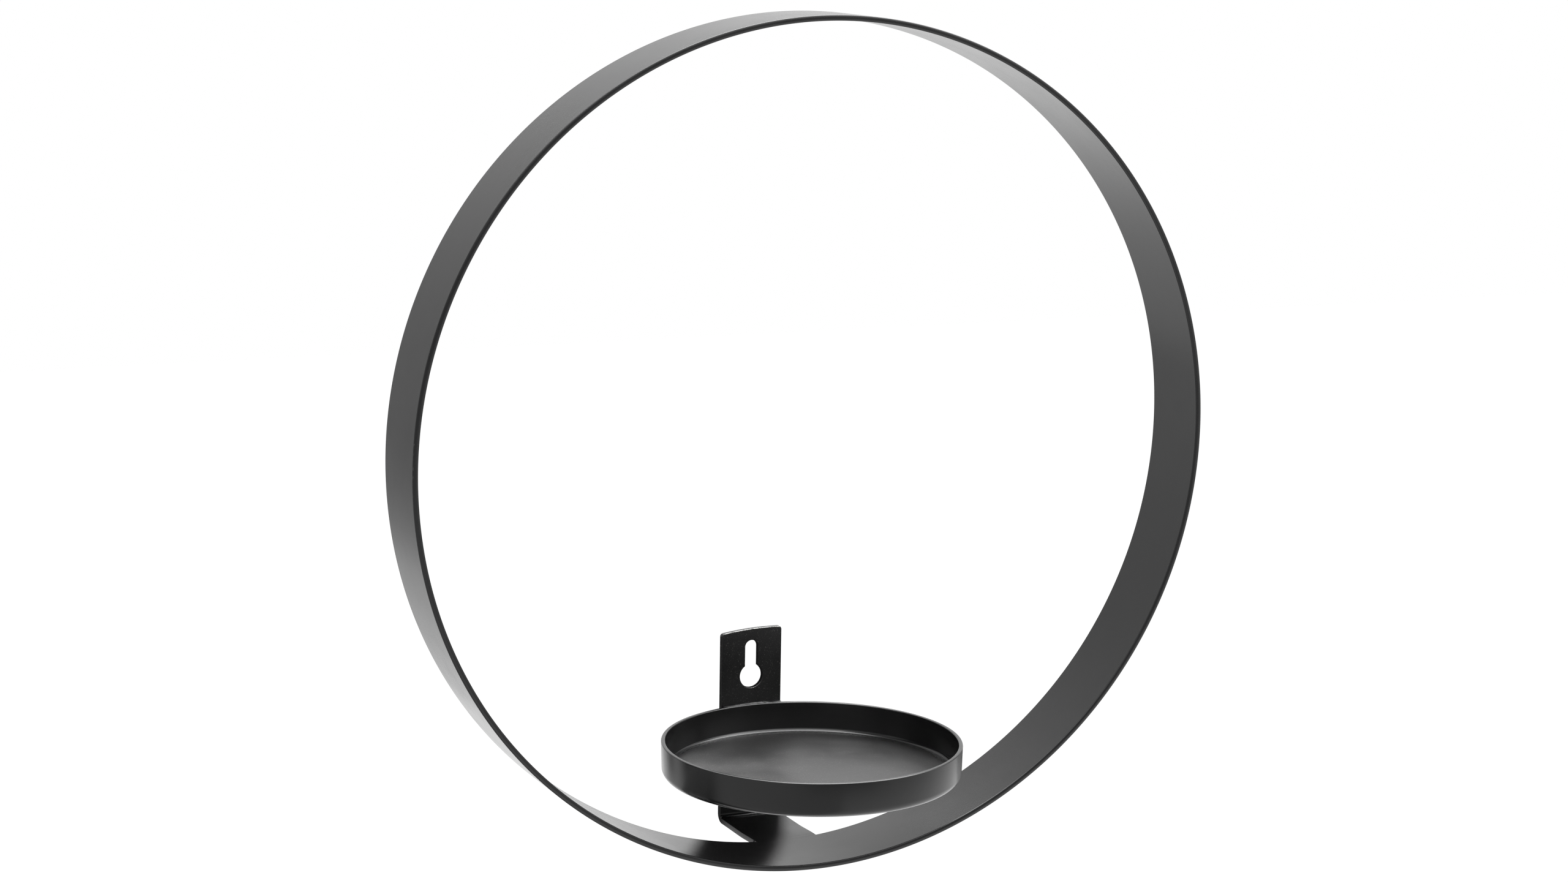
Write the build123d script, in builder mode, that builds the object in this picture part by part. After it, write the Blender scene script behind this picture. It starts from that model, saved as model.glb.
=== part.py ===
from build123d import *
from math import ceil, radians, sqrt, tan
import os

# Wall candle holder: a ring of flat steel bar stands off the wall on a bent strip, and a round
# pan for a pillar candle is welded to the strip, low inside the ring.
# All sizes are in millimetres. The origin is the centre of the keyhole's round head, on the
# plane of the wall. +Z is up and +Y points into the wall, so the whole object lies at y < 0.

# Ring: flat bar rolled into a circle, its width along Y
ring_diameter = 300
ring_width = 30
ring_thickness = 2
ring_edge_radius = 0.4

# Wall bracket: flat strip bent once, its upright against the wall and its foot towards the ring
strip_width = 24
strip_thickness = 2
bracket_height = 73
bracket_reach = 35
bend_inner_radius = 1.5
top_crown = 0.8
top_corner_radius = 1.2

# Keyhole in the upright: the screw's head goes in at the circle, its shank up the slot
keyhole_below_top = 18
keyhole_head_diameter = 9
keyhole_slot_width = 5
keyhole_travel = 11

# Candle plate: pressed pan, its wall drawn in a little towards the base, angle in degrees
plate_diameter = 107
plate_height = 12.5
plate_thickness = 1.5
plate_corner_radius = 3
plate_draft = 1.5
plate_lip_radius = 0.5
plate_above_foot = 30

# Weld between the plate's rim and the upright, and weld in the joint of foot and ring
plate_fit_up_gap = 0.1
plate_bead_radius = 1.5
plate_bead_pitch = 2
plate_bead_rise = 0.3
plate_bead_inset = 0.9
plate_bead_end_margin = 0.6
foot_weld_width = 1.2

# Places that follow from the sizes
upright_front = -strip_thickness
top_z = keyhole_below_top
foot_bottom = top_z - bracket_height
foot_top = foot_bottom + strip_thickness
ring_radius = ring_diameter / 2
ring_centre_z = foot_bottom + ring_radius
ring_rear = -bracket_reach
foot_end = ring_rear + foot_weld_width
plate_radius = plate_diameter / 2
plate_base = foot_top + plate_above_foot
plate_rim = plate_base + plate_height
plate_centre_y = upright_front - plate_fit_up_gap - plate_radius

os.makedirs("parts", exist_ok=True)


# Ring band: the bar's section, turned once round the ring's axis
with BuildPart() as ring_band:
    with BuildSketch(Plane.YZ) as bar_section:
        with Locations((ring_rear - ring_width / 2, foot_bottom + ring_thickness / 2)):
            RectangleRounded(ring_width, ring_thickness, ring_edge_radius)
    revolve(axis=Axis((0, 0, ring_centre_z), (0, 1, 0)), revolution_arc=360)
ring_band.part.label = "ring_band"


# Wall bracket: the bent side profile, cut to the strip's front outline, with the keyhole
with BuildPart() as wall_bracket:
    with BuildSketch(Plane.YZ) as side_profile:
        with BuildLine():
            Polyline(
                (foot_end, foot_bottom),
                (0, foot_bottom),
                (0, top_z),
                (upright_front, top_z),
                (upright_front, foot_top),
                (foot_end, foot_top),
                close=True,
            )
        make_face()
        outer_corner = side_profile.vertices().sort_by_distance((0, foot_bottom))[0]
        fillet(outer_corner, radius=bend_inner_radius + strip_thickness)
        inner_corner = side_profile.vertices().sort_by_distance((upright_front, foot_top))[0]
        fillet(inner_corner, radius=bend_inner_radius)
    extrude(amount=strip_width / 2, both=True)
    # Seen from the front the strip has straight sides and a slightly crowned, eased top end
    with BuildSketch(Plane.XZ) as front_outline:
        with BuildLine():
            bottom_left = (-strip_width / 2, foot_bottom)
            bottom_right = (strip_width / 2, foot_bottom)
            top_left = (-strip_width / 2, top_z - top_crown)
            top_right = (strip_width / 2, top_z - top_crown)
            Polyline(top_left, bottom_left, bottom_right, top_right)
            ThreePointArc(top_right, (0, top_z), top_left)
        make_face()
        fillet(front_outline.vertices().group_by(Axis.Y)[-1], radius=top_corner_radius)
    extrude(amount=bracket_reach, mode=Mode.INTERSECT)
    # The keyhole is a round head with a narrower slot that rises from it
    with BuildSketch(Plane.XZ) as keyhole:
        Circle(keyhole_head_diameter / 2)
        with Locations((0, keyhole_travel / 2)):
            SlotCenterToCenter(keyhole_travel, keyhole_slot_width, rotation=90)
    extrude(amount=strip_thickness, mode=Mode.SUBTRACT)
wall_bracket.part.label = "wall_bracket"


# Candle plate: half of the pan's section, turned round the plate's own upright axis
wall_foot_y = plate_centre_y + plate_radius - plate_height * tan(radians(plate_draft))
floor_top = plate_base + plate_thickness
with BuildPart() as candle_plate:
    with BuildSketch(Plane.YZ) as pan_section:
        with BuildLine():
            Polyline(
                (plate_centre_y, plate_base),
                (wall_foot_y, plate_base),
                (plate_centre_y + plate_radius, plate_rim),
                (plate_centre_y + plate_radius - plate_thickness, plate_rim),
                (wall_foot_y - plate_thickness, floor_top),
                (plate_centre_y, floor_top),
                close=True,
            )
        make_face()
        outer_foot = pan_section.vertices().sort_by_distance((wall_foot_y, plate_base))[0]
        fillet(outer_foot, radius=plate_corner_radius)
        inner_foot = pan_section.vertices().sort_by_distance((wall_foot_y - plate_thickness, floor_top))[0]
        fillet(inner_foot, radius=plate_corner_radius - plate_thickness)
        fillet(pan_section.vertices().group_by(Axis.Y)[-1], radius=plate_lip_radius)
    revolve(axis=Axis((0, plate_centre_y, 0), (0, 0, 1)), revolution_arc=360)
candle_plate.part.label = "candle_plate"


# Plate weld: a run of overlapping blobs along the rim, cut back by the two pieces that it joins
bead_half_length = strip_width / 2 - plate_bead_end_margin - plate_bead_radius
bead_steps = ceil(2 * bead_half_length / plate_bead_pitch)
bead_y = upright_front - plate_bead_inset
bead_z = plate_rim + plate_bead_rise
with BuildPart() as plate_weld:
    with Locations((0, bead_y, bead_z)):
        with GridLocations(2 * bead_half_length / bead_steps, 1, bead_steps + 1, 1):
            Sphere(plate_bead_radius)
    add(candle_plate.part, mode=Mode.SUBTRACT)
    add(wall_bracket.part, mode=Mode.SUBTRACT)
plate_weld.part.label = "plate_weld"


# Foot weld: fills the joint from the ring's curved rear edge to the foot's flat end, ground flush
half_width = strip_width / 2
inner_radius = ring_radius - ring_thickness
outer_side_z = ring_centre_z - sqrt(ring_radius**2 - half_width**2)
inner_side_z = ring_centre_z - sqrt(inner_radius**2 - half_width**2)
with BuildPart() as foot_weld:
    with BuildSketch(Plane.XZ.offset(-ring_rear)) as ring_side:
        with BuildLine():
            ThreePointArc((-half_width, outer_side_z), (0, foot_bottom), (half_width, outer_side_z))
            Line((half_width, outer_side_z), (half_width, inner_side_z))
            ThreePointArc(
                (half_width, inner_side_z), (0, foot_bottom + ring_thickness), (-half_width, inner_side_z)
            )
            Line((-half_width, inner_side_z), (-half_width, outer_side_z))
        make_face()
    with BuildSketch(Plane.XZ.offset(-foot_end)) as foot_side:
        with Locations((0, foot_bottom + strip_thickness / 2)):
            Rectangle(strip_width, strip_thickness)
    loft(ruled=True)
foot_weld.part.label = "foot_weld"


for piece in (ring_band, wall_bracket, candle_plate, plate_weld, foot_weld):
    export_step(piece.part, f"parts/{piece.part.label}.step")
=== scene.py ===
import math

import bmesh
import bpy
from mathutils import Matrix, Vector, noise


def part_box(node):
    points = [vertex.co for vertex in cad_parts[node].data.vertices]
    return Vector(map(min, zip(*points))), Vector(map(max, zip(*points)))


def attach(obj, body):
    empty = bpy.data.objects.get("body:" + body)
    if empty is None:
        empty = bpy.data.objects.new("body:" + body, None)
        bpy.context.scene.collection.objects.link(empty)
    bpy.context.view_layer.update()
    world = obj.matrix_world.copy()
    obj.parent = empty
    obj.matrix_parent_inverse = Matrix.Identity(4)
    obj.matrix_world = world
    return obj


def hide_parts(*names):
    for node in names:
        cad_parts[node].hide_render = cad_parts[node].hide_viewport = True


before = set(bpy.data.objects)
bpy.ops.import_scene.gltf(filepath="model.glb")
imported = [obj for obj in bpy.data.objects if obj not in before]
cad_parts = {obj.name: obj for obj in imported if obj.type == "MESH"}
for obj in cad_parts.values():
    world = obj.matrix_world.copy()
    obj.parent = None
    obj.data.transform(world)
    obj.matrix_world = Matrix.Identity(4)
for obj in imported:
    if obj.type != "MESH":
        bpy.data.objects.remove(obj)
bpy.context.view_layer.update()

MM = 0.001

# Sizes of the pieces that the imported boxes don't give. Edges, crowns, corners and lips are radii
RING_THICKNESS = 2 * MM
RING_EDGE = 0.25 * MM
RING_CROWN = 2.6 * MM
STRIP_THICKNESS = 2 * MM
STRIP_EDGE = 0.3 * MM
BEND_INNER = 1.5 * MM
TOP_RADIUS = 116 * MM
TOP_PEAK = 6 * MM
TOP_CORNER = 1.2 * MM
HEAD_RADIUS = 4.5 * MM
SLOT_RADIUS = 2.5 * MM
SLOT_TRAVEL = 11 * MM
PAN_THICKNESS = 1.5 * MM
PAN_CORNER = 3 * MM
PAN_DRAFT = math.radians(1.5)
PAN_LIP = 0.4 * MM

# Length of the foot's end over which it takes on the curve of the ring
FOOT_LIFT = 14 * MM

# Worn and glinting arrises: how close to one a place counts as on it, how strongly each is
# marked, and its stretch in degrees round the ring or the keyhole. The ring's nicks are wear;
# the bared paler metal along the strip's top and under its keyhole is a painted highlight
ARRIS_REACH = 0.2 * MM
NICK_WEAR = 0.45
NICK_TURN = (-2, 5)
TOP_GLINT = 0.9
KEYHOLE_GLINT = 0.7
KEYHOLE_TURN = (-110, -72)

# Scuffed patch on the pan's floor, from the floor's centre
SCUFF_X = -26 * MM
SCUFF_Y = 10 * MM
SCUFF_REACH = 36.4 * MM
SCUFF_FADE = 28 * MM
SCUFF_EXTRA = 1.3

# Powder coat: scales of its noises in waves per metre, where they start and end to count, its
# paler colours, and how its roughness varies
MOTTLE_SCALE = 70
FINE_SCALE = 2400
SWELL_SCALE = 260
CHIP_SCALE = 900
SCUFF_SCALE = 55
MOTTLE_EDGE = (0.3, 0.7)
CHIP_EDGE = (0.66, 0.74)
SPECK_EDGE = (0.62, 0.72)
SCUFF_EDGE = (0.40, 0.68)
DUST_COLOUR = (0.10, 0.098, 0.093, 1)
# Paler bared metal, for worn nicks and also as a painted highlight
BARE_AND_GLINT_COLOUR = (0.16, 0.16, 0.156, 1)
GLOSS_SPREAD = 0.02
SCUFF_ROUGHNESS = (0.082, 0.13)

# How strongly a place has to be marked to count in full, how much the mark adds to the noise of
# the chips, and how metallic the bared places are: worn nicks, and painted highlights on the strip
WEAR_AND_GLINT_FULL = 0.25
WEAR_AND_GLINT_CHIPS = 0.3
BARE_AND_GLINT_METALLIC = 0.8

# Unevenness of the coat: strength of its slow bump, and depth of the slow bump and of the grain
SWELL_STRENGTH = 0.03
SWELL_DEPTH = 0.4 * MM
GRAIN_DEPTH = 0.3 * MM

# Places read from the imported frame
ring_low, ring_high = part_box("ring_band")
strip_low, strip_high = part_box("wall_bracket")
pan_low, pan_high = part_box("candle_plate")
bead_low, bead_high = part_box("plate_weld")
seam_low, seam_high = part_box("foot_weld")
ring_centre = (ring_low + ring_high) / 2
ring_radius = (ring_high.z - ring_low.z) / 2
strip_half = (strip_high.x - strip_low.x) / 2
pan_centre = (pan_low + pan_high) / 2
pan_radius = pan_centre.y - pan_low.y


# Helpers for meshes


def new_piece(name, vertices, faces, material, slot_name, *replaced):
    """A smooth mesh piece that rides on the root body and stands for the named nodes."""
    mesh = bpy.data.meshes.new(name)
    mesh.from_pydata(vertices, [], faces)
    return finish_piece(name, mesh, material, slot_name, *replaced)


def finish_piece(name, mesh, material, slot_name, *replaced):
    """Gives a mesh its material, smooth faces and outward normals, and places it in the frame."""
    shape = bmesh.new()
    shape.from_mesh(mesh)
    bmesh.ops.recalc_face_normals(shape, faces=shape.faces)
    shape.to_mesh(mesh)
    shape.free()
    mesh.shade_smooth()
    mesh.materials.append(material)
    piece = bpy.data.objects.new(name, mesh)
    bpy.context.scene.collection.objects.link(piece)
    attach(piece, "root")
    if replaced:
        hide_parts(*replaced)
    return piece


def ordered_mesh(name, shape):
    """A mesh of the shape with its vertices and faces ordered by place, because Blender's cuts
    leave them in an order that differs from run to run."""
    verts = sorted(shape.verts, key=lambda v: tuple(v.co))
    place_of = {vert: i for i, vert in enumerate(verts)}
    faces = sorted([place_of[vert] for vert in face.verts] for face in shape.faces)
    mesh = bpy.data.meshes.new(name)
    mesh.from_pydata([vert.co for vert in verts], [], faces)
    return mesh


def arc_points(centre, radius, start, end, steps):
    """Points on an arc in a plane, from one angle to another, both in degrees."""
    points = []
    for i in range(steps + 1):
        angle = math.radians(start + (end - start) * i / steps)
        points.append((centre[0] + radius * math.cos(angle), centre[1] + radius * math.sin(angle)))
    return points


def tube_faces(sections, count, closed):
    """Faces between neighbouring sections of a tube, each a loop of count vertices. An open tube
    also gets its two ends."""
    faces = []
    for i in range(sections if closed else sections - 1):
        here, there = i * count, (i + 1) % sections * count
        for j in range(count):
            k = (j + 1) % count
            faces.append((here + j, here + k, there + k, there + j))
    if not closed:
        last = (sections - 1) * count
        faces.append(tuple(range(count)))
        faces.append(tuple(last + j for j in reversed(range(count))))
    return faces


def set_attribute(piece, name, value_at):
    """Stores a number on each vertex, worked out from its place."""
    layer = piece.data.attributes.new(name, "FLOAT", "POINT")
    layer.data.foreach_set("value", [value_at(v.co) for v in piece.data.vertices])


def ease(share):
    """0 to 1 with level ends, clamped."""
    share = min(1.0, max(0.0, share))
    return share * share * (3 - 2 * share)


# Helpers for materials


def add_node(tree, kind, **values):
    """A shader node with some of its properties set."""
    node = tree.nodes.new(kind)
    for key, value in values.items():
        setattr(node, key, value)
    return node


def noise_node(tree, coordinates, scale, detail=2.0, roughness=0.5):
    """A noise texture on the given coordinates."""
    node = add_node(tree, "ShaderNodeTexNoise")
    node.inputs["Scale"].default_value = scale
    node.inputs["Detail"].default_value = detail
    node.inputs["Roughness"].default_value = roughness
    tree.links.new(coordinates, node.inputs["Vector"])
    return node.outputs["Fac"]


def ranged(tree, value, from_low, from_high, to_low, to_high):
    """Maps a number from one range to another, clamped."""
    node = add_node(tree, "ShaderNodeMapRange")
    node.inputs["From Min"].default_value = from_low
    node.inputs["From Max"].default_value = from_high
    node.inputs["To Min"].default_value = to_low
    node.inputs["To Max"].default_value = to_high
    tree.links.new(value, node.inputs["Value"])
    return node.outputs["Result"]


def combine(tree, operation, first, second=0):
    """A Math node on one or two values, each a socket or a number."""
    node = add_node(tree, "ShaderNodeMath", operation=operation)
    for socket, value in zip(node.inputs, (first, second)):
        if isinstance(value, (int, float)):
            socket.default_value = value
        else:
            tree.links.new(value, socket)
    return node.outputs["Value"]


def window(tree, value, opens, closes, level=1.0):
    """A level between two edges and 0 beyond them. Each edge is a range over which it changes."""
    opened = ranged(tree, value, *opens, 0, level)
    return combine(tree, "MULTIPLY", opened, ranged(tree, value, *closes, 1, 0))


def blend(tree, share, first, second):
    """A mix of two colours by a share. The first is a socket or a colour, the second a colour."""
    node = add_node(tree, "ShaderNodeMix", data_type="RGBA")
    tree.links.new(share, node.inputs["Factor"])
    if isinstance(first, tuple):
        node.inputs["A"].default_value = first
    else:
        tree.links.new(first, node.inputs["A"])
    node.inputs["B"].default_value = second
    return node.outputs["Result"]


def add_bump(tree, height, strength, distance):
    """A bump node on a height."""
    node = add_node(tree, "ShaderNodeBump")
    node.inputs["Strength"].default_value = strength
    node.inputs["Distance"].default_value = distance
    tree.links.new(height, node.inputs["Height"])
    return node


def empty_material(name):
    """A material whose node tree is still empty."""
    material = bpy.data.materials.new(name)
    material.use_nodes = True
    material.node_tree.nodes.clear()
    return material


# Powder coat


def powder_coat(name, grain=0.03, roughness=0.22, black=0.0045):
    """Satin black powder coat with a fine grain and a slow unevenness in its gloss. The attribute
    named dust makes it duller, scuffed and finely speckled there, and the attribute for wear and
    glints bares paler metal: worn nicks, and a painted highlight where it stands in for glints."""
    material = bpy.data.materials.new(name)
    material.use_nodes = True
    tree = material.node_tree
    shader = tree.nodes["Principled BSDF"]
    place = add_node(tree, "ShaderNodeTexCoord").outputs["Object"]
    dust = add_node(tree, "ShaderNodeAttribute", attribute_name="dust").outputs["Fac"]
    wear_and_glint = add_node(tree, "ShaderNodeAttribute", attribute_name="wear_and_glint").outputs["Fac"]

    mottle = noise_node(tree, place, MOTTLE_SCALE, 4.0, 0.6)
    fine = noise_node(tree, place, FINE_SCALE, 2.0, 0.6)
    swell = noise_node(tree, place, SWELL_SCALE, 1.0)
    flakes = noise_node(tree, place, CHIP_SCALE, 4.0, 0.65)
    chips_and_glints = combine(tree, "ADD", flakes, combine(tree, "MULTIPLY", wear_and_glint, WEAR_AND_GLINT_CHIPS))
    worn_and_glinting = ranged(tree, wear_and_glint, 0, WEAR_AND_GLINT_FULL, 0, 1)
    # Bared paler metal: real nicks, and a painted highlight on the strip's top and keyhole
    bare_and_glint = combine(tree, "MULTIPLY", worn_and_glinting, ranged(tree, chips_and_glints, *CHIP_EDGE, 0, 1))
    specks = combine(tree, "MULTIPLY", dust, ranged(tree, fine, *SPECK_EDGE, 0, 1))

    darker = (0.7 * black, 0.7 * black, 0.72 * black, 1)
    lighter = (1.3 * black, 1.3 * black, 1.34 * black, 1)
    dusty = blend(tree, specks, blend(tree, mottle, darker, lighter), DUST_COLOUR)
    tree.links.new(blend(tree, bare_and_glint, dusty, BARE_AND_GLINT_COLOUR), shader.inputs["Base Color"])

    glossiest, dullest = roughness - GLOSS_SPREAD, roughness + GLOSS_SPREAD
    gloss = ranged(tree, mottle, *MOTTLE_EDGE, glossiest, dullest)
    scuffed = noise_node(tree, place, SCUFF_SCALE, 3.0)
    scuffs = ranged(tree, scuffed, *SCUFF_EDGE, *SCUFF_ROUGHNESS)
    dull = combine(tree, "MULTIPLY", dust, scuffs)
    tree.links.new(combine(tree, "ADD", gloss, dull), shader.inputs["Roughness"])
    tree.links.new(combine(tree, "MULTIPLY", bare_and_glint, BARE_AND_GLINT_METALLIC), shader.inputs["Metallic"])
    shader.inputs["IOR"].default_value = 1.5

    slow_bump = add_bump(tree, swell, SWELL_STRENGTH, SWELL_DEPTH)
    grain_bump = add_bump(tree, fine, grain, GRAIN_DEPTH)
    tree.links.new(slow_bump.outputs["Normal"], grain_bump.inputs["Normal"])
    tree.links.new(grain_bump.outputs["Normal"], shader.inputs["Normal"])
    return material


# Ring


def bar_section(width, thickness, support=0.12 * MM):
    """The bar's section as a closed loop of (across, out) points. Its two narrow sides are mill
    rounded: a shallow crown that runs into small arrises. A point just beyond each arris keeps
    the flats flat when the faces are shaded smooth."""
    half = thickness / 2
    tilt = math.degrees(math.asin((half - RING_EDGE) / (RING_CROWN - RING_EDGE)))
    arris_in = (RING_CROWN - RING_EDGE) * math.cos(math.radians(tilt)) - RING_CROWN
    side = width / 2 + arris_in
    upper = arc_points((side, half - RING_EDGE), RING_EDGE, 90, tilt, 5)
    crown = arc_points((width / 2 - RING_CROWN, 0), RING_CROWN, tilt, -tilt, 10)
    lower = arc_points((side, RING_EDGE - half), RING_EDGE, -tilt, -90, 5)
    right = [(side - support, half), *upper, *crown[1:-1], *lower, (side - support, -half)]
    left = [(-across, -out) for across, out in right]
    return [*right, *left]


def build_ring(material):
    """The flat bar rolled into a circle about the Y axis."""
    section = bar_section(ring_high.y - ring_low.y, RING_THICKNESS)
    turns = 720
    vertices = []
    for i in range(turns):
        angle = 2 * math.pi * i / turns
        for across, out in section:
            radius = ring_radius - RING_THICKNESS / 2 + out
            x = radius * math.cos(angle)
            z = ring_centre.z + radius * math.sin(angle)
            vertices.append((x, ring_centre.y + across, z))
    faces = tube_faces(turns, len(section), closed=True)
    piece = new_piece("ring", vertices, faces, material, "ring_paint", "ring_band")
    set_attribute(piece, "wear_and_glint", nicked_edge)


def nicked_edge(place):
    """How worn the ring is: a few nicks on its front outer arris at the far left."""
    from_centre = Vector((place.x, place.z - ring_centre.z))
    turn = math.degrees(math.atan2(from_centre.y, -from_centre.x))
    on_outside = from_centre.length > ring_radius - ARRIS_REACH
    on_front = place.y < ring_low.y + ARRIS_REACH
    nicked = NICK_TURN[0] < turn < NICK_TURN[1]
    return NICK_WEAR if on_outside and on_front and nicked else 0.0


def ring_rise(across):
    """How far the ring's inner face has risen beside its lowest line."""
    inner = ring_radius - RING_THICKNESS
    return inner - math.sqrt(inner**2 - across**2)


# Candle plate


def pan_profile(base, floor):
    """Half of the pan's section as (radius, height) points, from near the centre underneath,
    round the wall, to near the centre of the floor's upper face."""
    rim = pan_high.z
    draft = math.degrees(PAN_DRAFT)
    slope = math.tan(PAN_DRAFT)
    cosine = math.cos(PAN_DRAFT)
    foot = pan_radius - (rim - base) * slope
    inner_corner = PAN_CORNER - PAN_THICKNESS
    # The margin keeps the lip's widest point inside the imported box
    margin = 0.03
    lip_outer_radius = pan_radius - PAN_LIP * ((1 - math.sin(PAN_DRAFT)) / cosine + margin)
    lip_inner_radius = pan_radius - PAN_THICKNESS + PAN_LIP
    lip_height = rim - PAN_LIP
    outer_radius = foot + PAN_CORNER * slope - PAN_CORNER / cosine
    inner_radius = foot - PAN_THICKNESS + inner_corner * slope - inner_corner / cosine
    wall = [
        *arc_points((outer_radius, base + PAN_CORNER), PAN_CORNER, -90, -draft, 10),
        *arc_points((lip_outer_radius, lip_height), PAN_LIP, -draft, 90, 6),
        *arc_points((lip_inner_radius, lip_height), PAN_LIP, 90, 180 - draft, 6),
        *arc_points((inner_radius, floor + inner_corner), inner_corner, -draft, -90, 8),
    ]
    shares = (0.2, 0.4, 0.6, 0.8, 0.95, 0.995)
    under = [(wall[0][0] * share, base) for share in shares]
    over = [(wall[-1][0] * share, floor) for share in reversed(shares)]
    return [*under, *wall, *over]


def build_pan(material):
    """The pan's section turned about its own upright axis."""
    base, floor = pan_low.z, pan_low.z + PAN_THICKNESS
    profile = pan_profile(base, floor)
    turns = 360
    vertices = [(0, pan_centre.y, base)]
    for radius, height in profile:
        for i in range(turns):
            angle = 2 * math.pi * i / turns
            x, y = radius * math.cos(angle), pan_centre.y + radius * math.sin(angle)
            vertices.append((x, y, height))
    vertices.append((0, pan_centre.y, floor))
    last = len(vertices) - 1
    faces = []
    for i in range(turns):
        k = (i + 1) % turns
        faces.append((0, 1 + k, 1 + i))
        faces.append((last, last - turns + i, last - turns + k))
        for j in range(len(profile) - 1):
            low, high = 1 + j * turns, 1 + (j + 1) * turns
            faces.append((low + i, low + k, high + k, high + i))
    pan = new_piece("candle_pan", vertices, faces, material, "plate_paint", "candle_plate")
    floor_edge = pan_radius - PAN_THICKNESS - PAN_CORNER
    set_attribute(pan, "dust", lambda v: floor_dust(v, floor, floor_edge))


def floor_dust(place, floor, edge):
    """How dusty the pan is: 1 on the upper face of its floor, more in the scuffed patch at the
    left, and less up its corner, down to 0."""
    fade, below = 2 * MM, 0.1 * MM
    away = math.hypot(place.x, place.y - pan_centre.y)
    if place.z < floor - below or away > edge + fade:
        return 0.0
    from_scuff = math.hypot(place.x - SCUFF_X, place.y - pan_centre.y - SCUFF_Y)
    patch = 1 + SCUFF_EXTRA * ease((SCUFF_REACH - from_scuff) / SCUFF_FADE)
    return patch * min(1.0, max(0.0, (edge + fade - away) / fade))


# Wall bracket


def strip_outline(length):
    """The flattened strip's edge as (across, along) points: foot end, straight sides, and a top
    cut in a shallow arc that peaks a little to the right."""
    centre = (TOP_PEAK, length - TOP_RADIUS)

    def corner(side):
        """Centre of the small arc that joins a side to the top, and the top arc's angle there."""
        across = side * (strip_half - TOP_CORNER)
        reach = TOP_RADIUS - TOP_CORNER
        along = centre[1] + math.sqrt(reach**2 - (across - centre[0]) ** 2)
        return (across, along), math.degrees(math.atan2(along - centre[1], across - centre[0]))

    right, right_turn = corner(1)
    left, left_turn = corner(-1)
    start = arc_points(right, TOP_CORNER, 0, right_turn, 6)
    crown = arc_points(centre, TOP_RADIUS, right_turn, left_turn, 20)
    finish = arc_points(left, TOP_CORNER, left_turn, 180, 6)
    return [(strip_half, 0), *start, *crown[1:-1], *finish, (-strip_half, 0)]


def keyhole_outline(head_along):
    """The keyhole as (across, along) points: a round head with a slot that rises from it."""
    meet = math.degrees(math.asin(SLOT_RADIUS / HEAD_RADIUS))
    head = arc_points((0, head_along), HEAD_RADIUS, 90 + meet, 450 - meet, 48)
    end = arc_points((0, head_along + SLOT_TRAVEL), SLOT_RADIUS, 0, 180, 24)
    return [*head, *end]


def cut_strip(length, head_along):
    """The strip while it is still flat, with its keyhole, its thickness and eased arrises."""
    sharp_from, level_within = math.radians(60), MM / 1000
    shape = bmesh.new()
    edges = []
    for loop in (strip_outline(length), keyhole_outline(head_along)):
        ring = [shape.verts.new((x, along, 0)) for x, along in loop]
        edges += [shape.edges.new((a, b)) for a, b in zip(ring, ring[1:] + ring[:1])]
    bmesh.ops.triangle_fill(shape, use_beauty=True, edges=edges)
    grown = bmesh.ops.extrude_face_region(shape, geom=list(shape.faces))
    moved = [g for g in grown["geom"] if isinstance(g, bmesh.types.BMVert)]
    bmesh.ops.translate(shape, verts=moved, vec=(0, 0, STRIP_THICKNESS))
    bmesh.ops.recalc_face_normals(shape, faces=shape.faces)
    sharp = [e for e in shape.edges if e.calc_face_angle(0) > sharp_from]
    arrises = [e for e in sharp if abs(e.verts[0].co.z - e.verts[1].co.z) < level_within]
    bmesh.ops.bevel(
        shape, geom=arrises, offset=STRIP_EDGE, offset_type="OFFSET", segments=4, profile=0.5,
        affect="EDGES",
    )
    return shape


def slice_strip(shape, foot_length, bend_length):
    """Cuts the flat strip's faces across its bend, and both ways near its foot's end, so that
    they can follow the curves there."""
    bend_cuts, foot_cuts, side_cuts = 24, 12, 12
    tolerance = 1e-8
    cuts = [foot_length + bend_length * i / bend_cuts for i in range(bend_cuts + 1)]
    cuts += [FOOT_LIFT * i / foot_cuts for i in range(1, foot_cuts + 1)]
    for along in cuts:
        bmesh.ops.bisect_plane(
            shape, geom=[*shape.verts, *shape.edges, *shape.faces],
            plane_co=(0, along, 0), plane_no=(0, 1, 0), dist=tolerance,
        )
    for i in range(1, side_cuts):
        low_faces = [f for f in shape.faces if f.calc_center_median().y < FOOT_LIFT]
        low_edges = {e for f in low_faces for e in f.edges}
        low_verts = {v for f in low_faces for v in f.verts}
        bmesh.ops.bisect_plane(
            shape, geom=[*low_verts, *low_edges, *low_faces],
            plane_co=(strip_half * (2 * i / side_cuts - 1), 0, 0), plane_no=(1, 0, 0),
            dist=tolerance,
        )


def bend_point(point, foot_length, bend_length, upright_base, outer):
    """Where a point of the flat strip lies once the strip is bent up against the wall."""
    across, along, depth = point
    radius = outer - depth
    if along <= foot_length:
        return Vector((across, strip_low.y + along, strip_low.z + depth))
    if along >= foot_length + bend_length:
        height = upright_base + along - foot_length - bend_length
        return Vector((across, -depth, height))
    angle = (along - foot_length) / bend_length * math.pi / 2
    y = -outer + radius * math.sin(angle)
    return Vector((across, y, upright_base - radius * math.cos(angle)))


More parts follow.
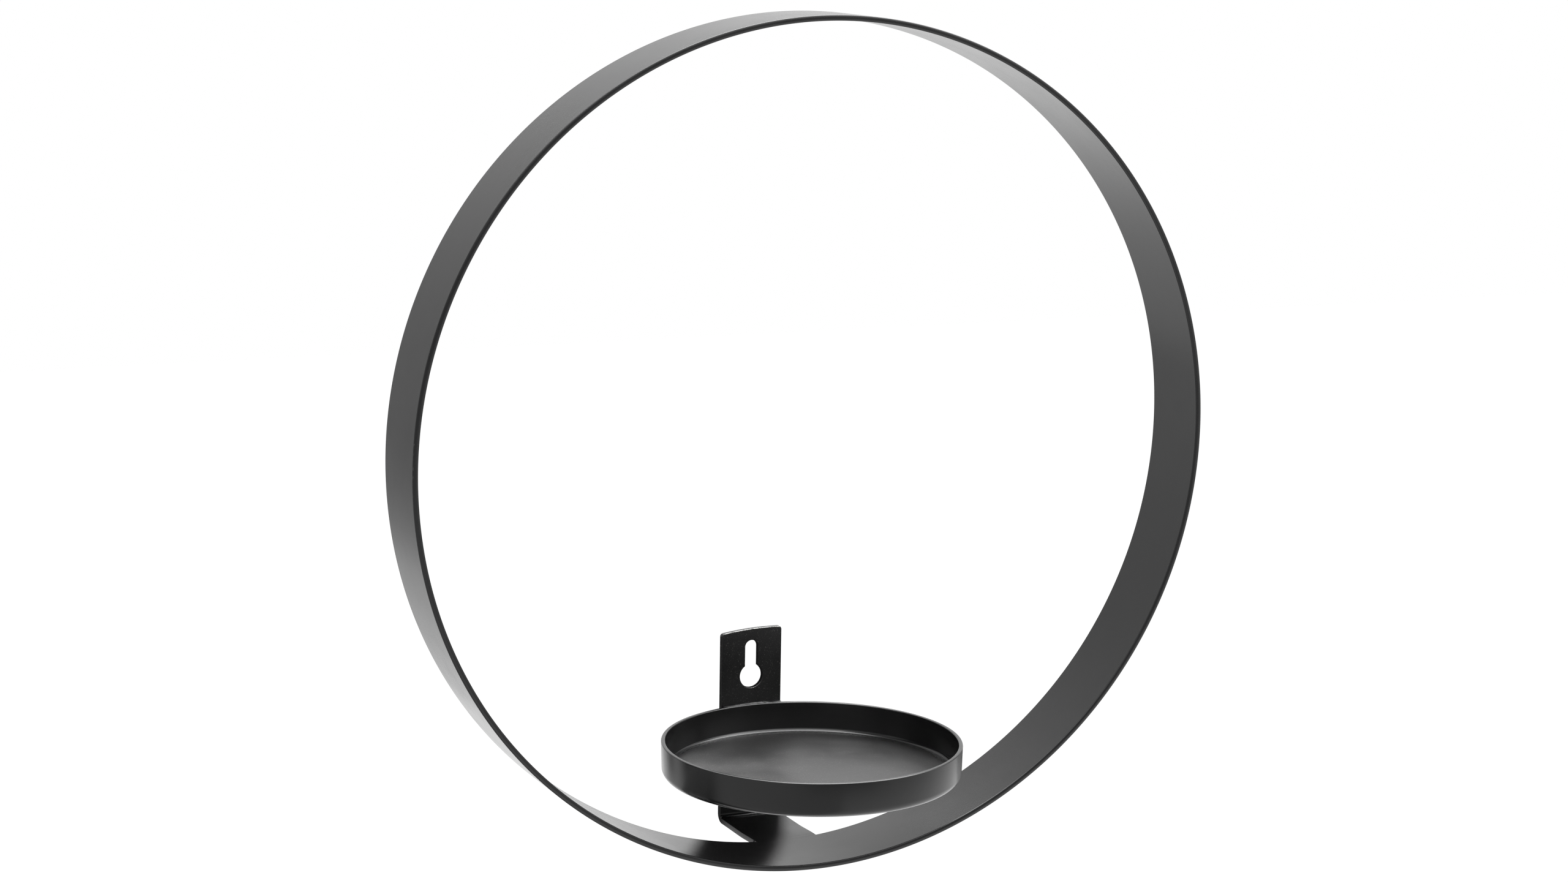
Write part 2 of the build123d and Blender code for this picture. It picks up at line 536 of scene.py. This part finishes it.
def build_bracket(material):
    """The strip is cut flat, then bent up, and the foot's end takes on the ring's curve."""
    outer = BEND_INNER + STRIP_THICKNESS
    foot_length = -strip_low.y - outer
    bend_length = (BEND_INNER + STRIP_THICKNESS / 2) * math.pi / 2
    upright_start = foot_length + bend_length
    upright_base = strip_low.z + outer
    length = upright_start + strip_high.z - upright_base
    shape = cut_strip(length, upright_start - upright_base)
    slice_strip(shape, foot_length, bend_length)
    for vert in shape.verts:
        rise = ring_rise(vert.co.x) * ease(1 - vert.co.y / FOOT_LIFT)
        vert.co = bend_point(vert.co, foot_length, bend_length, upright_base, outer)
        vert.co.z += rise
    mesh = ordered_mesh("bracket", shape)
    shape.free()
    piece = finish_piece("bracket", mesh, material, "bracket_paint", "wall_bracket")
    # Painted highlight: paler bared metal on the top's front arris and under the keyhole
    set_attribute(piece, "wear_and_glint", glinting_arris)
    # The upright is as dull as the pan's floor, and the foot is as glossy as the ring
    set_attribute(piece, "dust", lambda v: 1.0 if v.z > strip_low.z + 2 * outer else 0.0)
    flat = piece.modifiers.new("flat", "WEIGHTED_NORMAL")
    flat.weight = 100
    flat.keep_sharp = False


def glinting_arris(place):
    """Painted highlight on the strip: bared paler metal along the front arris of its top, and
    under the keyhole, stands in for their glints.
    """
    if place.y > ARRIS_REACH - STRIP_THICKNESS or place.z < strip_low.z / 2:
        return 0.0
    top = math.sqrt(TOP_RADIUS**2 - (place.x - TOP_PEAK) ** 2) + strip_high.z - TOP_RADIUS
    if place.z > top - ARRIS_REACH:
        return TOP_GLINT
    turn = math.degrees(math.atan2(place.z, place.x))
    near = math.hypot(place.x, place.z) < HEAD_RADIUS + ARRIS_REACH
    return KEYHOLE_GLINT if near and KEYHOLE_TURN[0] < turn < KEYHOLE_TURN[1] else 0.0


# Welds

# How full the bead is along its length, as (x in millimetres, share of its full height)
BEAD_STOPS = (
    (-12.0, 0.12), (-11.0, 0.34), (-9.0, 0.52), (-5.0, 0.72), (-1.0, 0.86), (2.5, 1.00),
    (5.0, 0.90), (6.6, 0.55), (8.0, 0.34), (9.2, 0.50), (10.6, 0.74), (11.6, 0.58), (12.2, 0.15),
)


def bead_size(x):
    """How full the bead is at a place along it, eased from each stop to the next."""
    along = x / MM
    if along <= BEAD_STOPS[0][0]:
        return BEAD_STOPS[0][1]
    for (left, low), (right, high) in zip(BEAD_STOPS, BEAD_STOPS[1:]):
        if along <= right:
            return low + (high - low) * ease((along - left) / (right - left))
    return BEAD_STOPS[-1][1]


def bead_lump(x, angle):
    """How much the bead swells at a place on its surface: lumps, finer lumps and slanted folds."""
    lump_pitch, lump_swell, lumps_round = 1.1 * MM, 0.16, 1.3
    finer, finer_swell = 3.1, 0.07
    fold_pitch, fold_swell, fold_slant = 1.9 * MM, 0.06, 0.35
    place = Vector((x / lump_pitch, lumps_round * math.cos(angle), lumps_round * math.sin(angle)))
    lumps = lump_swell * noise.noise(place) + finer_swell * noise.noise(finer * place)
    fold = (x / fold_pitch + fold_slant * math.cos(angle)) % 1
    return 1 + lumps + fold_swell * (fold - 0.5)


def build_bead(material):
    """The hand-laid weld along the pan's rear rim: a smeared, lumpy run that thins near its right
    end and closes with a small dab."""
    rows, around = 240, 32
    over_rim, sunk, full_height = 0.25 * MM, 0.15 * MM, 0.75 * MM
    depth_at_none, depth_gain = 0.45, 0.6
    vertices = []
    for i in range(rows + 1):
        x = bead_low.x + (bead_high.x - bead_low.x) * i / rows
        rim_y = pan_centre.y + math.sqrt((pan_radius - PAN_THICKNESS) ** 2 - x * x)
        front, back = rim_y + over_rim, sunk - STRIP_THICKNESS
        size = bead_size(x)
        depth = min(1, depth_at_none + depth_gain * size)
        middle, level = (front + back) / 2, pan_high.z - sunk
        for j in range(around):
            angle = 2 * math.pi * j / around
            lump = bead_lump(x, angle)
            deep = (back - front) / 2 * depth * lump * math.cos(angle)
            high = full_height * size * lump * math.sin(angle)
            vertices.append((x, middle + deep, level + high))
    faces = tube_faces(rows + 1, around, closed=False)
    new_piece("plate_bead", vertices, faces, material, "weld_paint", "plate_weld")


def build_seam(material):
    """The ground-back weld between the strip's foot and the ring: a thin pad over the joint."""
    inset, over_foot, over_ring = 0.03 * MM, 0.7 * MM, 1.1 * MM
    half = (seam_high.x - seam_low.x) / 2 - inset
    rear, front = seam_high.y + over_foot, seam_low.y - over_ring
    across, along = 160, 12
    vertices = []
    for i in range(across + 1):
        x = -half + 2 * half * i / across
        rise = ring_rise(x)
        overhang = max(0.0, abs(x) - half + STRIP_EDGE)
        rounding = STRIP_EDGE - math.sqrt(STRIP_EDGE**2 - min(overhang, STRIP_EDGE) ** 2)
        for j in range(along + 1):
            y = rear + (front - rear) * j / along
            stand = pad_height(j / along, x) - rounding
            vertices.append((x, y, strip_low.z + STRIP_THICKNESS + rise + stand))
        for j in reversed(range(along + 1)):
            y = rear + (front - rear) * j / along
            sunk = min(pad_height(j / along, x), -0.002 * MM)
            vertices.append((x, y, strip_low.z + rise - sunk + rounding))
    faces = tube_faces(across + 1, 2 * (along + 1), closed=False)
    piece = new_piece("foot_seam", vertices, faces, material, "weld_paint", "foot_weld")
    for end in piece.data.polygons[-2:]:
        end.use_smooth = False


def pad_height(share, x):
    """How far the pad stands out of the foot and the band. It sinks in at both borders."""
    sunk, swell = -0.012 * MM, 0.022 * MM
    ripple = 0.006 * MM * noise.noise(Vector((x / (1.7 * MM), 4 * share, 0)))
    return sunk + (swell + ripple) * math.sin(math.pi * share)


# Studio that reflections find, in degrees. Azimuth runs from +Y towards +X, and a pair is a range
# over which a level changes

# Level of the walls round the object, as (azimuth, level)
WALLS = (
    (-180, 0.64), (-157, 0.66), (-133, 0.70), (-110, 0.76), (-82, 0.76), (-72, 0.25), (-64, 0.02),
    (-48, 0.02), (-36, 0.95), (0, 1.00), (25, 1.06), (58, 1.12), (95, 1.02), (130, 0.78),
    (154, 0.68), (166, 0.62), (180, 0.64),
)
DIFFUSE_LEVEL = 0.6

# White table low behind the object and to its right, which adds to the walls' level
SWEEP_LEVEL = 0.5
SWEEP_LEFT = (-12, 8)
SWEEP_TOP = (-26, -12)

# Dimmer band of the front wall, whose azimuth is taken without its sign
BAND_LOSS = 0.6
BAND_SIDES = (142, 158)
BAND_BOTTOM = (-16, -10)
BAND_TOP = (6, 13)

# Soft box high at the front right
BOX_LEVEL = 2.0
BOX_REAR = (80, 110)
BOX_FRONT = (135, 160)
BOX_BOTTOM = (12, 24)

# Soft box overhead. It hangs higher at the left and lower in front, and but for its highest part
# it is dark at the left and dim in front
TOP_LEVEL = 11.0
TOP_EDGE = (35, 50)
TOP_RAISED = 8
TOP_RAISED_AT = (-10, 20)
TOP_LOWERED = 17
TOP_LOWERED_AT = (110, 140)
LEFT_LOSS_STARTS = (-140, -110)
LEFT_LOSS_ENDS = (-15, 10)
FRONT_LOSS = 0.78
FRONT_LOSS_AT = (100, 135)
ALWAYS_LIT_FROM = (62, 78)

# Dim gap behind the ring's left side. It starts above the table, and widens and fades upwards.
# Its edge is given in shares of its half width
GAP_AZIMUTH = -20
GAP_HALF_WIDTH = (11, 24)
GAP_WIDENS = (-15, 25)
GAP_EDGE = (0.2, 1.0)
GAP_BOTTOM = (-20, -17)
GAP_LOSS = 0.72
GAP_FADES = (-10, 40)


def wall_levels(tree, azimuth):
    """The walls' level at an azimuth. The ramp holds halves, so that its colours stay below 1."""
    around = add_node(tree, "ShaderNodeValToRGB")
    tree.links.new(ranged(tree, azimuth, -180, 180, 0, 1), around.inputs["Fac"])
    stops = around.color_ramp.elements
    stops.remove(stops[1])
    stops[0].position = 0
    stops[0].color = (*(WALLS[0][1] / 2,) * 3, 1)
    for degrees, level in WALLS[1:]:
        stops.new((degrees + 180) / 360).color = (*(level / 2,) * 3, 1)
    return combine(tree, "MULTIPLY", around.outputs["Color"], 2.0)


def overhead_level(tree, azimuth, off_back, elevation):
    """The level of the soft box overhead."""
    raised = ranged(tree, azimuth, *TOP_RAISED_AT, -TOP_RAISED, 0)
    lowered = ranged(tree, off_back, *TOP_LOWERED_AT, 0, TOP_LOWERED)
    height = combine(tree, "ADD", elevation, combine(tree, "ADD", raised, lowered))
    level = ranged(tree, height, *TOP_EDGE, 0, TOP_LEVEL)
    at_left = window(tree, azimuth, LEFT_LOSS_STARTS, LEFT_LOSS_ENDS)
    loss = combine(tree, "MAXIMUM", at_left, ranged(tree, off_back, *FRONT_LOSS_AT, 0, FRONT_LOSS))
    loss = combine(tree, "MULTIPLY", loss, ranged(tree, elevation, *ALWAYS_LIT_FROM, 1, 0))
    return combine(tree, "MULTIPLY", level, combine(tree, "SUBTRACT", 1, loss))


def gap_loss(tree, azimuth, elevation):
    """How much dimmer the studio is in the gap, as a share."""
    off_gap = combine(tree, "ABSOLUTE", combine(tree, "ADD", azimuth, -GAP_AZIMUTH))
    half_width = ranged(tree, elevation, *GAP_WIDENS, *GAP_HALF_WIDTH)
    beside = ranged(tree, combine(tree, "DIVIDE", off_gap, half_width), *GAP_EDGE, 1, 0)
    over = ranged(tree, elevation, *GAP_BOTTOM, 0, 1)
    under = ranged(tree, elevation, *GAP_FADES, GAP_LOSS, 0)
    return combine(tree, "MULTIPLY", combine(tree, "MULTIPLY", beside, over), under)


def build_world():
    """Pure white behind the object. Reflections find a studio that is bright behind and to the
    right, dimmer in front, dark at the left, and brightest overhead."""
    world = bpy.data.worlds.new("studio")
    bpy.context.scene.world = world
    world.use_nodes = True
    tree = world.node_tree
    background = tree.nodes["Background"]
    rays = add_node(tree, "ShaderNodeLightPath")
    place = add_node(tree, "ShaderNodeTexCoord")
    split = add_node(tree, "ShaderNodeSeparateXYZ")
    tree.links.new(place.outputs["Generated"], split.inputs["Vector"])
    turn = combine(tree, "ARCTAN2", split.outputs["X"], split.outputs["Y"])
    climb = combine(tree, "ARCSINE", split.outputs["Z"])
    azimuth = combine(tree, "MULTIPLY", turn, 180 / math.pi)
    elevation = combine(tree, "MULTIPLY", climb, 180 / math.pi)
    off_back = combine(tree, "ABSOLUTE", azimuth)

    sweep_side = ranged(tree, azimuth, *SWEEP_LEFT, 0, SWEEP_LEVEL)
    sweep = combine(tree, "MULTIPLY", sweep_side, ranged(tree, elevation, *SWEEP_TOP, 1, 0))
    box_side = window(tree, azimuth, BOX_REAR, BOX_FRONT)
    box = combine(tree, "MULTIPLY", box_side, ranged(tree, elevation, *BOX_BOTTOM, 0, BOX_LEVEL))
    top = overhead_level(tree, azimuth, off_back, elevation)
    boxes = combine(tree, "ADD", combine(tree, "ADD", sweep, box), top)
    lit = combine(tree, "ADD", wall_levels(tree, azimuth), boxes)

    in_front = ranged(tree, off_back, *BAND_SIDES, 0, 1)
    at_height = window(tree, elevation, BAND_BOTTOM, BAND_TOP, BAND_LOSS)
    band = combine(tree, "MULTIPLY", in_front, at_height)
    open_gap = combine(tree, "SUBTRACT", 1, gap_loss(tree, azimuth, elevation))
    left_over = combine(tree, "MULTIPLY", open_gap, combine(tree, "SUBTRACT", 1, band))
    studio = combine(tree, "MULTIPLY", lit, left_over)

    straight, through = rays.outputs["Is Camera Ray"], rays.outputs["Is Transmission Ray"]
    seen = combine(tree, "MAXIMUM", straight, through)
    mirrored = combine(tree, "MULTIPLY", rays.outputs["Is Glossy Ray"], studio)
    scattered = combine(tree, "MULTIPLY", rays.outputs["Is Diffuse Ray"], DIFFUSE_LEVEL)
    strength = combine(tree, "MAXIMUM", combine(tree, "MAXIMUM", seen, mirrored), scattered)
    tree.links.new(strength, background.inputs["Strength"])
    background.inputs["Color"].default_value = (1, 1, 1, 1)


def flat_card(name, corners):
    """A single four-sided face for the studio."""
    mesh = bpy.data.meshes.new(name)
    mesh.from_pydata(corners, [], [(0, 1, 2, 3)])
    card = bpy.data.objects.new(name, mesh)
    bpy.context.scene.collection.objects.link(card)
    return card


def shade_material():
    """Nearly black behind the strip, clear above its sheared top, and fading to clear within a
    few millimetres of its sides and its foot."""
    level, edge = 0.03, (0.5 * MM, 6 * MM)
    top_edge = (TOP_RADIUS - 1.6 * MM, TOP_RADIUS - 0.4 * MM)
    material = empty_material("contact_shade")
    tree = material.node_tree
    place = add_node(tree, "ShaderNodeTexCoord")
    split = add_node(tree, "ShaderNodeSeparateXYZ")
    tree.links.new(place.outputs["Object"], split.inputs["Vector"])
    across, height = split.outputs["X"], split.outputs["Z"]

    def length(first, second):
        """The length of a step that goes one way by one number and square to it by the other."""
        squares = [combine(tree, "MULTIPLY", number, number) for number in (first, second)]
        return combine(tree, "SQRT", combine(tree, "ADD", *squares))

    off_middle = combine(tree, "SUBTRACT", combine(tree, "ABSOLUTE", across), strip_half)
    beside = combine(tree, "MAXIMUM", off_middle, 0)
    below = combine(tree, "MAXIMUM", combine(tree, "SUBTRACT", strip_low.z, height), 0)
    from_peak = combine(tree, "SUBTRACT", across, TOP_PEAK)
    from_centre = combine(tree, "SUBTRACT", height, strip_high.z - TOP_RADIUS)
    above = ranged(tree, length(from_peak, from_centre), *top_edge, 0, 1)
    clear = combine(tree, "MAXIMUM", ranged(tree, length(beside, below), *edge, 0, 1), above)

    black = add_node(tree, "ShaderNodeEmission")
    black.inputs["Strength"].default_value = level
    transparent = add_node(tree, "ShaderNodeBsdfTransparent")
    both = add_node(tree, "ShaderNodeMixShader")
    output = add_node(tree, "ShaderNodeOutputMaterial")
    tree.links.new(clear, both.inputs["Fac"])
    tree.links.new(black.outputs["Emission"], both.inputs[1])
    tree.links.new(transparent.outputs["BSDF"], both.inputs[2])
    tree.links.new(both.outputs["Shader"], output.inputs["Surface"])
    return material


def build_contact_shade():
    """The dim strip of wall right behind the bracket. Only reflections see it."""
    reach, behind = 40 * MM, 0.5 * MM
    middle = (strip_low.z + strip_high.z) / 2
    half_tall = (strip_high.z - strip_low.z) / 2
    corners = [
        (side * (strip_half + reach), behind, middle + up * (half_tall + reach))
        for side, up in ((-1, -1), (1, -1), (1, 1), (-1, 1))
    ]
    card = flat_card("contact_shade", corners)
    card.visible_camera = False
    card.visible_diffuse = False
    card.visible_shadow = False
    card.visible_transmission = False
    card.data.materials.append(shade_material())


def build_floor():
    """A plain pale floor well below the hung object. It keeps the object's faint shadow."""
    half, height = 6.0, -0.85
    grey, glow_level = (0.3, 0.3, 0.3, 1), 0.85
    corners = [(x * half, y * half, height) for x, y in ((-1, -1), (1, -1), (1, 1), (-1, 1))]
    floor = flat_card("floor", corners)
    floor.visible_glossy = False
    floor.visible_diffuse = False
    material = empty_material("floor_white")
    tree = material.node_tree
    matt = add_node(tree, "ShaderNodeBsdfDiffuse")
    matt.inputs["Color"].default_value = grey
    glow = add_node(tree, "ShaderNodeEmission")
    glow.inputs["Strength"].default_value = glow_level
    both = add_node(tree, "ShaderNodeAddShader")
    output = add_node(tree, "ShaderNodeOutputMaterial")
    tree.links.new(matt.outputs["BSDF"], both.inputs[0])
    tree.links.new(glow.outputs["Emission"], both.inputs[1])
    tree.links.new(both.outputs["Shader"], output.inputs["Surface"])
    floor.data.materials.append(material)


def build_lamp(name, place, target, size, power):
    """A square soft box that faces a point. Reflections don't see it."""
    data = bpy.data.lights.new(name, "AREA")
    data.shape = "SQUARE"
    data.size = size
    data.energy = power
    lamp = bpy.data.objects.new(name, data)
    bpy.context.scene.collection.objects.link(lamp)
    lamp.location = place
    lamp.rotation_euler = (Vector(target) - Vector(place)).to_track_quat("-Z", "Y").to_euler()
    lamp.visible_glossy = False


# Camera


def build_camera():
    """The photograph's view, worked out from the ring's four edges and the strip and pan."""
    yaw, pitch, roll = math.radians(24.55), math.radians(10.39), math.radians(0.94)
    focal_pixels, image_width, sensor_width = 5147, 2560, 36
    nearest, farthest = 0.05, 100
    # The centre of the ring's front edge, and the same point in the camera's own axes
    ring_front = Vector((0, ring_low.y, ring_centre.z))
    ring_seen = Vector((15.49, -3.92, -1089.33)) * MM
    turn = (
        Matrix.Rotation(-yaw, 3, "Z")
        @ Matrix.Rotation(math.radians(90) - pitch, 3, "X")
        @ Matrix.Rotation(roll, 3, "Z")
    )
    data = bpy.data.cameras.new("camera")
    data.sensor_width = sensor_width
    data.lens = focal_pixels * sensor_width / image_width
    data.clip_start = nearest
    data.clip_end = farthest
    camera = bpy.data.objects.new("camera", data)
    bpy.context.scene.collection.objects.link(camera)
    camera.matrix_world = Matrix.Translation(ring_front - turn @ ring_seen) @ turn.to_4x4()
    bpy.context.scene.camera = camera


# The scene

LAMP_TARGET = (0, -0.05, 0.08)

build_camera()
build_world()
build_floor()
build_contact_shade()
build_lamp("key", (-0.9, -1.3, 1.6), LAMP_TARGET, size=1.0, power=14)
build_lamp("fill", (1.2, -1.6, 0.3), LAMP_TARGET, size=1.2, power=6)

# The ring's black is paler than the rest of the coat, painted light that lifts the darkest
# reflections in its band
build_ring(powder_coat("ring_black", black=0.012))
build_pan(powder_coat("pan_black", grain=0.02))
build_bracket(powder_coat("bracket_black"))
build_bead(powder_coat("weld_black", grain=0.06, roughness=0.40))
build_seam(powder_coat("seam_black"))

bpy.context.scene.view_settings.view_transform = "Standard"
